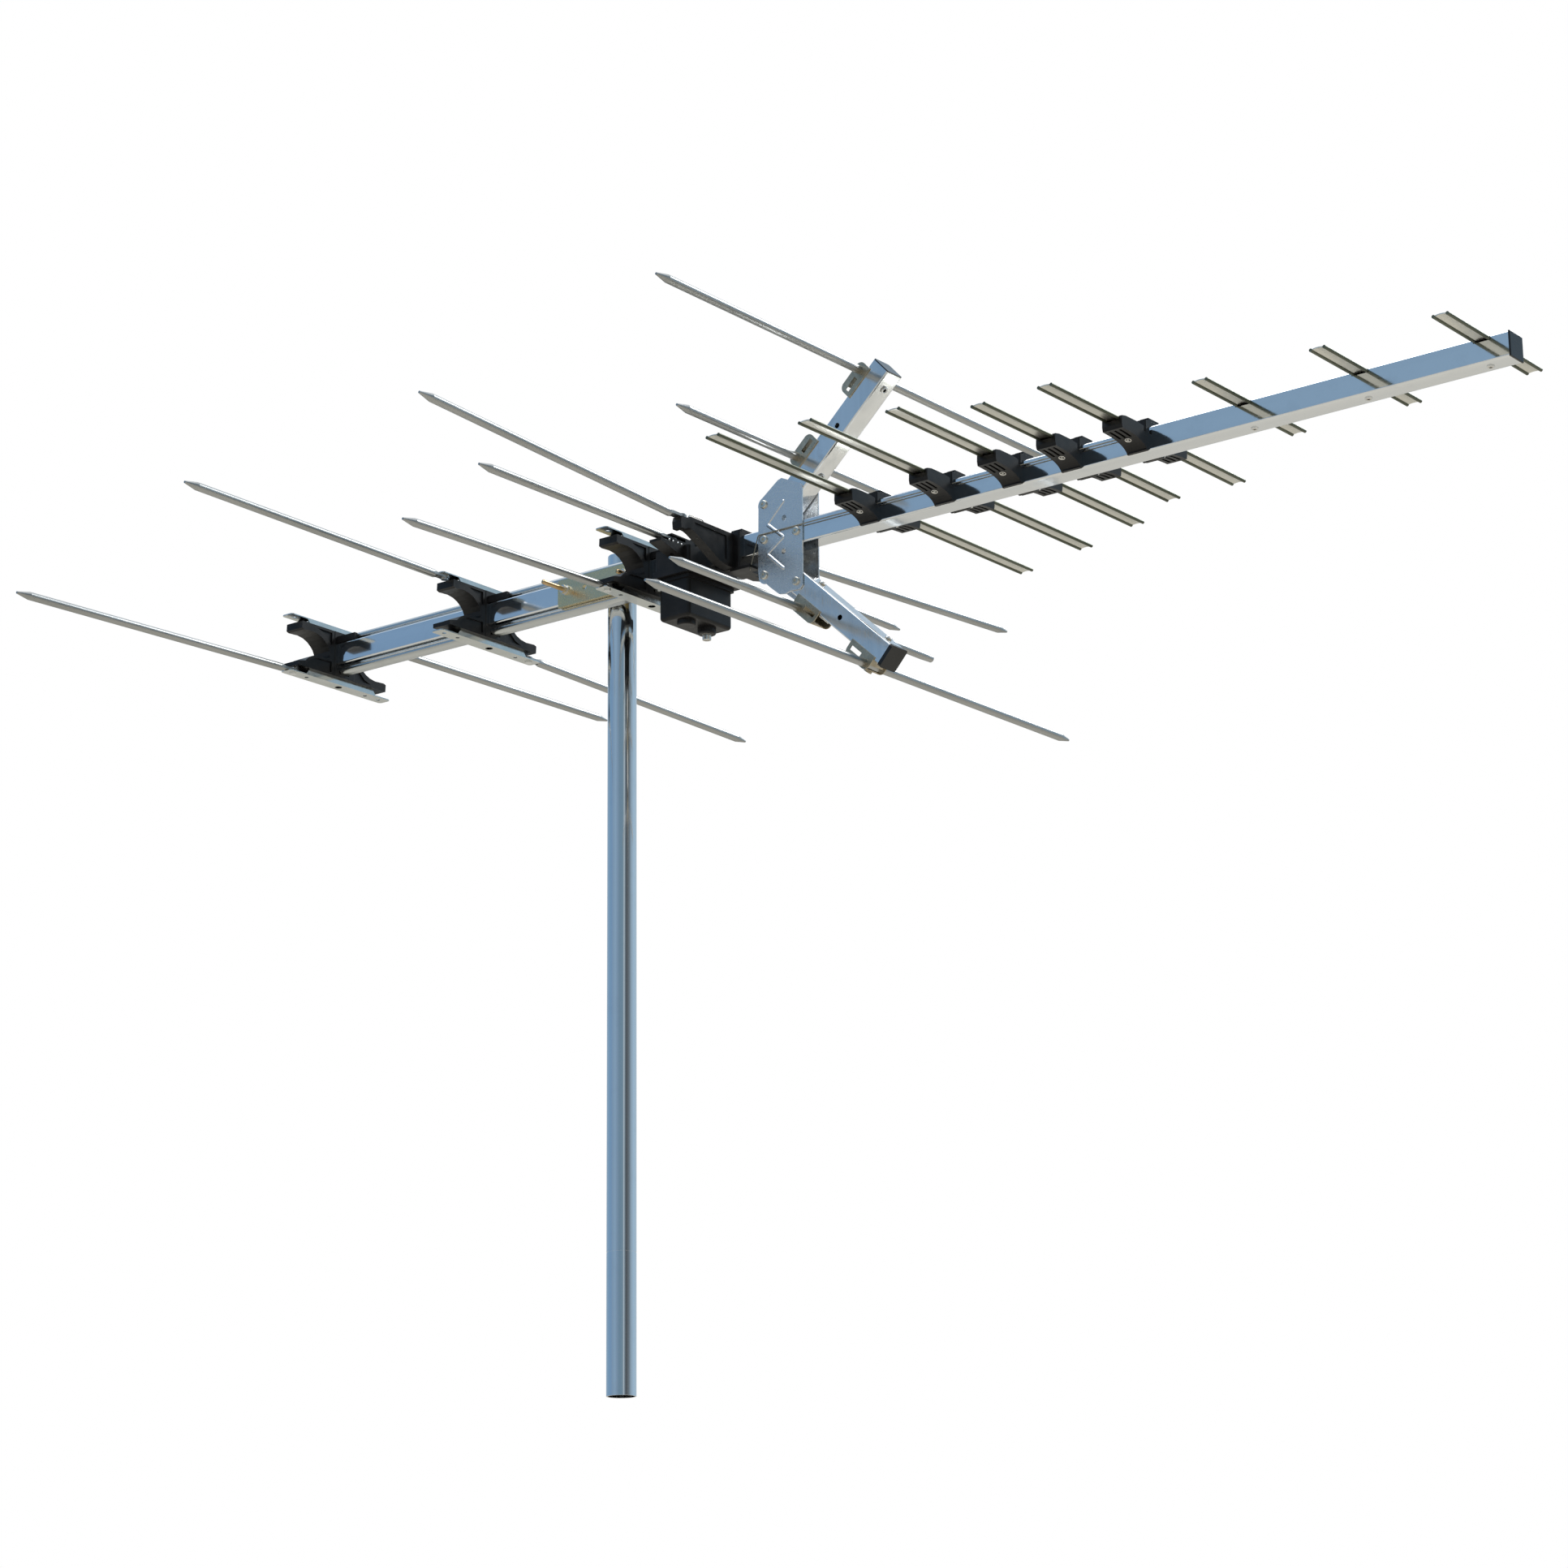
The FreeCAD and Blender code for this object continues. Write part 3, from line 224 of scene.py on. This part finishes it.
def element_metal(name, axis):
    """Rolled strip: a bright trough between two edges painted dark olive as shade."""
    M = Mat(name)
    sx = M.n("ShaderNodeSeparateXYZ")
    M.link(M.tc.outputs["Generated"], sx.inputs[0])
    d = M.math("ABSOLUTE", M.math("SUBTRACT", sx.outputs[axis], 0.5))
    wob = M.noise((60.0, 16.0, 60.0), 3.0)
    d = M.math("ADD", d, M.math("MULTIPLY", M.math("SUBTRACT", wob, 0.5), 0.04))
    # mask of the strip's two edges, which take the painted shade
    edge = M.remap(d, 0.0, 1.0, 0.27, 0.31)
    nm = M.noise((70.0, 4.0, 70.0), 3.0)
    nf = M.noise((1400.0, 3.0, 1400.0), 2.0)
    mid = M.mix(M.remap(nm, 0.0, 1.0, 0.35, 0.7), (0.78, 0.77, 0.71, 1), (0.70, 0.69, 0.63, 1))
    # painted shade: the strip's two edges get this near-black olive in place of real shading
    painted_lip_shade = M.mix(M.remap(nm, 0.0, 1.0, 0.35, 0.7), (0.16, 0.17, 0.13, 1), (0.09, 0.10, 0.07, 1))
    col = M.mix(edge, mid, painted_lip_shade)
    rr = M.math("ADD", M.remap(nf, 0.30, 0.36, 0.3, 0.7), M.math("MULTIPLY", edge, 0.1))
    M.set(Base_Color=col, Metallic=1.0, Roughness=rr, Normal=M.bump(nf, 0.03, 0.00005))
    return M.m


M_ELEM = element_metal("element_metal", "X")

M = Mat("board_laminate")
f1 = M.noise((900.0, 60.0, 900.0), 2.0)
c = M.mix(M.remap(f1, 0.0, 1.0), (0.30, 0.20, 0.06, 1), (0.42, 0.30, 0.10, 1))
M.set(Base_Color=c, Roughness=0.5, Normal=M.bump(f1, 0.2, 0.0001))
M_BOARD = M.m


def pick(n):
    if n == "mast_tube": return M_MAST
    if n == "boom_tube": return M_BOOM
    if n in ("upper_arm", "lower_arm"): return M_ARM
    if n == "upper_arm_cap": return M_CAP_UP
    if n == "boom_front_cap" or n.endswith("arm_cap"): return M_CAP
    if n.endswith("_rail"): return M_RAIL
    if n.endswith("_strips"): return M_STRIP
    if "rod_clips" in n: return M_CLIP
    if n.startswith("uhf_element") or n.startswith("director"): return M_ELEM
    if n.endswith("_insulator") or n.startswith("uhf_insulator") or n in ("junction_base", "junction_cover"): return M_PLASTIC
    if n in ("boom_rivets", "rod_rivets", "cover_pin"): return M_RIVET
    if n == "coax_socket": return M_NICKEL
    if n == "transformer_board": return M_BOARD
    if n == "phasing_wire": return M_COPPER
    if n == "clamp_nuts": return M_NICKEL
    if n == "u_bolt": return M_STUD
    if n in ("clamp_plate", "clamp_jaw"): return M_YELLOW
    if n == "bracket_bolts": return M_BOLT
    if n.startswith("bracket_plate"): return M_BRACKET
    return M_ROD


for n, o in NODES.items():
    o.data.materials.clear()
    o.data.materials.append(pick(n))


# ---------------------------------------------------------------- details that ride on the CAD bodies (all in the boom's own frame, millimetres)
def W(x, y, z):
    return Vector((x / 1000.0, (y - 31.0) / 1000.0, (z + 880.0) / 1000.0))


def add_mesh(name, bm, mat, body, smooth=True):
    me = bpy.data.meshes.new(name)
    bm.normal_update()
    bm.to_mesh(me); bm.free()
    if smooth:
        for f in me.polygons: f.use_smooth = True
    o = bpy.data.objects.new(name, me)
    bpy.context.scene.collection.objects.link(o)
    me.materials.append(mat)
    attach(o, body)
    return o


def ring_frame(d):
    d = d.normalized()
    a = Vector((0, 0, 1)) if abs(d.z) < 0.9 else Vector((1, 0, 0))
    u = d.cross(a).normalized()
    return u, d.cross(u).normalized()


def lathe(bm, origin, direction, profile, seg=32):
    """profile is (distance along the axis, radius) in millimetres; the ends are closed."""
    d = Vector(direction).normalized()
    u, v = ring_frame(d)
    o = W(*origin)
    rows = []
    for h, r in profile:
        c = o + d * (h / 1000.0)
        rows.append([bm.verts.new(c + (u * math.cos(2 * math.pi * k / seg) + v * math.sin(2 * math.pi * k / seg)) * (r / 1000.0)) for k in range(seg)])
    for a, b in zip(rows, rows[1:]):
        for k in range(seg):
            bm.faces.new((a[k], a[(k + 1) % seg], b[(k + 1) % seg], b[k]))
    bm.faces.new(rows[0][::-1]); bm.faces.new(rows[-1])


def tube_path(bm, pts, r, seg=12, closed=False):
    """Round wire through points given in millimetres."""
    P = [W(*q) for q in pts]
    n = len(P)
    rows = []
    ref = None
    for i in range(n):
        if closed: d = (P[(i + 1) % n] - P[i - 1]).normalized()
        else: d = (P[min(i + 1, n - 1)] - P[max(i - 1, 0)]).normalized()
        if ref is None: ref = ring_frame(d)[0]
        ref = (ref - d * ref.dot(d)).normalized()
        v = d.cross(ref)
        rows.append([bm.verts.new(P[i] + (ref * math.cos(2 * math.pi * k / seg) + v * math.sin(2 * math.pi * k / seg)) * (r / 1000.0)) for k in range(seg)])
    m = n if closed else n - 1
    for i in range(m):
        a, b = rows[i], rows[(i + 1) % n]
        for k in range(seg):
            bm.faces.new((a[k], a[(k + 1) % seg], b[(k + 1) % seg], b[k]))
    if not closed:
        bm.faces.new(rows[0][::-1]); bm.faces.new(rows[-1])


def block(bm, x0, x1, y0, y1, z0, z1, bevel=0.4):
    r = bmesh.ops.create_cube(bm, size=1.0)
    c = W((x0 + x1) / 2.0, (y0 + y1) / 2.0, (z0 + z1) / 2.0)
    for v in r["verts"]:
        v.co = Vector((c.x + v.co.x * (x1 - x0) / 1000.0, c.y + v.co.y * (y1 - y0) / 1000.0, c.z + v.co.z * (z1 - z0) / 1000.0))
    if bevel:
        es = list({e for v in r["verts"] for e in v.link_edges})
        bmesh.ops.bevel(bm, geom=es, offset=bevel / 1000.0, segments=2, profile=0.6, affect="EDGES")


def thread(bm, origin, direction, length, r, pitch, depth, seg=20, per=10):
    """Screw thread as one solid helix-ridged cylinder."""
    d = Vector(direction).normalized()
    u, v = ring_frame(d)
    o = W(*origin)
    n = int(length / pitch * per)
    rows = []
    for i in range(n + 1):
        row = []
        for k in range(seg):
            h = length * i / n
            ph = (h / pitch + k / float(seg)) % 1.0
            tri = 1.0 - abs(2.0 * ph - 1.0)
            fade = min(1.0, h / pitch, (length - h) / pitch)
            rr = r - depth + depth * tri * max(0.0, fade)
            a = 2 * math.pi * k / seg
            row.append(bm.verts.new(o + d * (h / 1000.0) + (u * math.cos(a) + v * math.sin(a)) * (rr / 1000.0)))
        rows.append(row)
    for a, b in zip(rows, rows[1:]):
        for k in range(seg):
            bm.faces.new((a[k], a[(k + 1) % seg], b[(k + 1) % seg], b[k]))
    bm.faces.new(rows[0][::-1]); bm.faces.new(rows[-1])


UHF_X = (374.7, 470.0, 554.7, 626.4, 704.9)

# eyelets on the underside of the split elements' insulators
bm = bmesh.new()
for x in UHF_X:
    for sg in (-1, 1):
        lathe(bm, (x, sg * 31.0, -4.0), (0, sg * 0.218, -0.976), [(-1.2, 3.5), (0.45, 3.5), (0.75, 3.25), (0.75, 2.9), (0.4, 2.55), (0.1, 2.45)], 36)
add_mesh("uhf_eyelets", bm, M_NICKEL, "antenna")
# near-black discs in the eyelets' holes: painted shade
bm = bmesh.new()
for x in UHF_X:
    for sg in (-1, 1):
        lathe(bm, (x, sg * 31.0, -4.0), (0, sg * 0.218, -0.976), [(-0.2, 2.5), (0.18, 2.5), (0.22, 1.2)], 24)
add_mesh("uhf_eyelet_hole_shade", bm, M_HOLE_SHADE, "antenna")

# blind rivets of the directors under the boom: a bright ring round a near-black disc that is painted shade in the
# mandrel hole
rings, hole_shades = bmesh.new(), bmesh.new()
for x in (830.4, 956.5, 1086.1):
    lathe(rings, (x, 0, -14.0), (0, 0, -1), [(-0.6, 2.5), (0.2, 2.5), (0.42, 2.2), (0.42, 1.85), (0.2, 1.55), (0.0, 1.45)], 32)
    lathe(hole_shades, (x, 0, -14.0), (0, 0, -1), [(-0.3, 1.5), (0.12, 1.5), (0.16, 0.8)], 24)
add_mesh("boom_rivet_mandrels", rings, M_NICKEL, "antenna")
add_mesh("boom_rivet_hole_shade", hole_shades, M_HOLE_SHADE, "antenna")

# screw thread on the two legs of the U-bolt and on the coax nose
bm = bmesh.new()
thread(bm, (-43.0, -23.4, 3.0), (0, -1, 0), 28.8, 2.68, 0.9, 0.34)
thread(bm, (43.0, -23.4, 3.0), (0, -1, 0), 4.9, 2.68, 0.9, 0.34)
add_mesh("u_bolt_threads", bm, M_STUD, "antenna")
bm = bmesh.new()
thread(bm, (134.0, 13.5, -78.3), (0, 0, -1), 5.4, 4.86, 0.8, 0.3, 32)
o = add_mesh("coax_nose_thread", bm, M_NICKEL, "cover")

# loop clips on top of the long dipole's insulator arms
bm = bmesh.new()
for sg in (-1, 1):
    pts = []
    for k in range(33):
        a = 2 * math.pi * k / 32.0
        if k == 32: break
        cx = 9.5 if math.cos(a) > 0 else -9.5
        pts.append((191.0 + 3.2 * 0.0, sg * (74.0 + cx + 2.4 * math.cos(a)), 16.6 + 2.4 * math.sin(a)))
    tube_path(bm, pts, 0.75, 10, True)
    block(bm, 188.2, 193.8, sg * 74.0 - 4.0, sg * 74.0 + 4.0, 13.6, 14.6, 0.3)
add_mesh("dipole_loop_clips", bm, M_NICKEL, "antenna")

# small screws along the underside edge of the short element's arms
bm = bmesh.new()
for sg in (-1, 1):
    for yy in (46.0, 52.0, 60.0, 66.0):
        lathe(bm, (148.0, sg * yy, 6.0), (1, 0, 0), [(-1.0, 1.1), (0.2, 1.1), (0.45, 0.8), (0.5, 0.3)], 16)
add_mesh("short_arm_screws", bm, M_RIVET, "antenna")

# raised ribs on the top blocks of the split elements' insulators
bm = bmesh.new()
for x in UHF_X:
    for k in (-10.5, -5.0, 0.5, 6.0, 11.5):
        block(bm, x - 9.0, x + 11.0, k - 0.8, k + 0.8, 19.2, 20.1, 0.25)
add_mesh("uhf_block_ribs", bm, M_PLASTIC, "antenna")

# bright eyelets at the front of the reflector arms, round each tubular rivet, with a near-black disc in the middle that
# is painted shade in the hole
ca, sa = math.cos(math.radians(42.5)), math.sin(math.radians(42.5))
for name, sg in (("upper", 1), ("lower", -1)):
    rings, hole_shades = bmesh.new(), bmesh.new()
    for s0 in (66.5, 181.0):
        nn = -1.4
        o3 = (252.0 + s0 * ca - nn * sa, 0.0, sg * (14.5 + s0 * sa + nn * ca))
        d3 = (sa, 0, -ca * sg)
        lathe(rings, o3, d3, [(-0.6, 3.9), (0.4, 3.9), (0.9, 3.4), (1.0, 2.8), (0.6, 2.2), (0.1, 2.0)], 36)
        lathe(hole_shades, o3, d3, [(-0.4, 2.0), (0.25, 2.0), (0.3, 1.2)], 24)
    add_mesh(name + "_arm_eyelets", rings, M_RIVET, name + "_reflector")
    add_mesh(name + "_arm_eyelet_hole_shade", hole_shades, M_HOLE_SHADE, name + "_reflector")

# hooked end of the phasing wire under its shelf
bm = bmesh.new()
pts = [(216.5, -14.6, -27.6), (216.3, -14.4, -28.4), (215.6, -13.6, -28.9), (214.4, -12.4, -28.8), (213.4, -11.4, -28.2)]
tube_path(bm, pts, 0.6, 12)
add_mesh("wire_hook", bm, M_COPPER, "antenna")

# ---------------------------------------------------------------- floor, light, camera
def plain_floor():
    bm = bmesh.new()
    R, N = 26.0, 96
    rings = [0.0, 2.0, 5.0, 9.0, 14.0, 20.0, R]
    prev = [bm.verts.new((0, 0, 0))]
    for r in rings[1:]:
        cur = [bm.verts.new((r * math.cos(2 * math.pi * i / N), r * math.sin(2 * math.pi * i / N), 0)) for i in range(N)]
        for i in range(N):
            if len(prev) == 1: bm.faces.new((prev[0], cur[i], cur[(i + 1) % N]))
            else: bm.faces.new((prev[i], cur[i], cur[(i + 1) % N], prev[(i + 1) % N]))
        prev = cur
    me = bpy.data.meshes.new("floor"); bm.to_mesh(me); bm.free()
    o = bpy.data.objects.new("floor", me)
    o.location = (0.2, 0.0, -1.15)
    bpy.context.scene.collection.objects.link(o)
    F = Mat("floor_pale")
    fn = F.noise((1.1, 1.1, 1.1), 3.0)
    col = F.mix(F.remap(fn, 0.0, 1.0), lin((209, 200, 185)), lin((211, 202, 188)))
    F.set(Base_Color=col, Roughness=0.9)
    F.p.inputs["Specular IOR Level"].default_value = 0.1
    me.materials.append(F.m)


plain_floor()

w = bpy.data.worlds.new("studio"); bpy.context.scene.world = w
w.use_nodes = True
t = w.node_tree; t.nodes.clear()
out = t.nodes.new("ShaderNodeOutputWorld")
tc = t.nodes.new("ShaderNodeTexCoord")
sep = t.nodes.new("ShaderNodeSeparateXYZ"); t.links.new(tc.outputs["Generated"], sep.inputs[0])


def wramp(stops):
    r = t.nodes.new("ShaderNodeValToRGB")
    e = r.color_ramp.elements
    while len(e) < len(stops): e.new(0.5)
    for el, (p, col) in zip(e, stops):
        el.position = p; el.color = col
    return r


def wmath(op, a, b=None):
    x = t.nodes.new("ShaderNodeMath"); x.operation = op
    for i, v in enumerate((a, b)):
        if v is None: continue
        if isinstance(v, (int, float)): x.inputs[i].default_value = v
        else: t.links.new(v, x.inputs[i])
    return x.outputs[0]


# colour round the horizon, by compass angle: soft blue, one darker patch and a narrow bright one
az = wmath("ARCTAN2", sep.outputs["Y"], sep.outputs["X"])
az = wmath("FRACT", wmath("ADD", wmath("DIVIDE", az, 2 * math.pi), 1.0))
stops = [(0, (98, 106, 112)), (12, (110, 122, 131)), (26, (140, 160, 176)), (44, (162, 187, 206)), (60, (160, 186, 206)), (84, (168, 190, 206)),
         (125, (176, 192, 206)), (170, (140, 166, 190)), (202, (118, 152, 182)), (224, (120, 150, 181)), (240, (130, 156, 180)), (258, (136, 163, 187)),
         (272, (128, 152, 175)), (290, (112, 138, 158)), (310, (112, 138, 156)), (322, (122, 144, 158)), (328, (190, 200, 208)), (332, (130, 148, 160)), (342, (84, 90, 95)), (352, (84, 90, 95)), (360, (98, 106, 112))]
horizon = wramp([(a / 360.0, lin(c)) for a, c in stops])
t.links.new(az, horizon.inputs["Fac"])
up = wmath("ARCSINE", sep.outputs["Z"])
up = wmath("ADD", wmath("DIVIDE", up, math.pi), 0.5)      # 0 straight down, 0.5 level, 1 straight up
sky = wramp([(0.0, (0.40, 0.38, 0.35, 1)), (0.40, (0.58, 0.53, 0.46, 1)), (0.49, (0.66, 0.60, 0.52, 1)), (0.5, (0.62, 0.68, 0.75, 1)), (0.66, (0.55, 0.72, 0.92, 1)), (0.82, (0.98, 0.99, 1.0, 1)), (1.0, (1.0, 1.0, 1.0, 1))])
t.links.new(up, sky.inputs["Fac"])
band = wramp([(0.0, (0, 0, 0, 1)), (0.495, (0, 0, 0, 1)), (0.505, (1, 1, 1, 1)), (0.72, (1, 1, 1, 1)), (0.80, (0, 0, 0, 1)), (1.0, (0, 0, 0, 1))])
t.links.new(up, band.inputs["Fac"])
mx = t.nodes.new("ShaderNodeMix"); mx.data_type = "RGBA"
t.links.new(band.outputs["Color"], mx.inputs[0])
t.links.new(sky.outputs["Color"], mx.inputs[6]); t.links.new(horizon.outputs["Color"], mx.inputs[7])
bright = wramp([(0.0, (0.28, 0.28, 0.28, 1)), (0.70, (0.28, 0.28, 0.28, 1)), (0.82, (0.36, 0.36, 0.36, 1)), (1.0, (0.42, 0.42, 0.42, 1))])
t.links.new(up, bright.inputs["Fac"])
bg1 = t.nodes.new("ShaderNodeBackground")
t.links.new(mx.outputs[2], bg1.inputs["Color"])
t.links.new(wmath("MULTIPLY", bright.outputs["Color"], 3.6), bg1.inputs["Strength"])
bg2 = t.nodes.new("ShaderNodeBackground"); bg2.inputs["Color"].default_value = (1, 1, 1, 1); bg2.inputs["Strength"].default_value = 1.0
lp = t.nodes.new("ShaderNodeLightPath")
ms = t.nodes.new("ShaderNodeMixShader")
t.links.new(lp.outputs["Is Camera Ray"], ms.inputs[0])
t.links.new(bg1.outputs[0], ms.inputs[1]); t.links.new(bg2.outputs[0], ms.inputs[2])
t.links.new(ms.outputs[0], out.inputs[0])


def area(name, loc, target, size, power, color=(1, 1, 1), tall=None):
    l = bpy.data.lights.new(name, "AREA"); l.shape = "DISK" if tall is None else "RECTANGLE"; l.size = size; l.energy = power; l.color = color
    if tall is not None: l.size_y = tall
    o = bpy.data.objects.new(name, l); bpy.context.scene.collection.objects.link(o)
    o.location = loc
    o.rotation_mode = "QUATERNION"
    o.rotation_quaternion = (Vector(target) - Vector(loc)).to_track_quat("-Z", "Y")
    return o


area("softbox_top", (-0.6, -1.6, 3.6), (0.3, 0, 0.8), 1.6, 20.0)
area("softbox_rear", (1.1, 3.85, 4.05), (0.3, 0, 0.9), 2.9, 105.0, (1.0, 0.99, 0.97), 1.15)

cam = bpy.data.cameras.new("camera")
co = bpy.data.objects.new("camera", cam); bpy.context.scene.collection.objects.link(co)
cam.sensor_fit = "HORIZONTAL"; cam.sensor_width = 36.0
cam.lens = 4777.225 / 1932.0 * 36.0
cam.clip_start, cam.clip_end = 0.05, 200.0
yaw, pitch, roll = 2.2314473856, 0.2691625530, -0.0103328750
cy, sy, cp, sp, cr, sr = math.cos(yaw), math.sin(yaw), math.cos(pitch), math.sin(pitch), math.cos(roll), math.sin(roll)
fwd = Vector((cp * cy, cp * sy, sp)); rgt = Vector((sy, -cy, 0.0)); upv = rgt.cross(fwd)
r2 = cr * rgt + sr * upv
u2 = -sr * rgt + cr * upv
loc = Vector((2.6370449, -3.0748013 - 0.031, -1.3415841 + 0.880))
co.matrix_world = Matrix(((r2.x, u2.x, -fwd.x, loc.x), (r2.y, u2.y, -fwd.y, loc.y), (r2.z, u2.z, -fwd.z, loc.z), (0, 0, 0, 1)))
bpy.context.scene.camera = co
bpy.context.scene.view_settings.view_transform = "Standard"
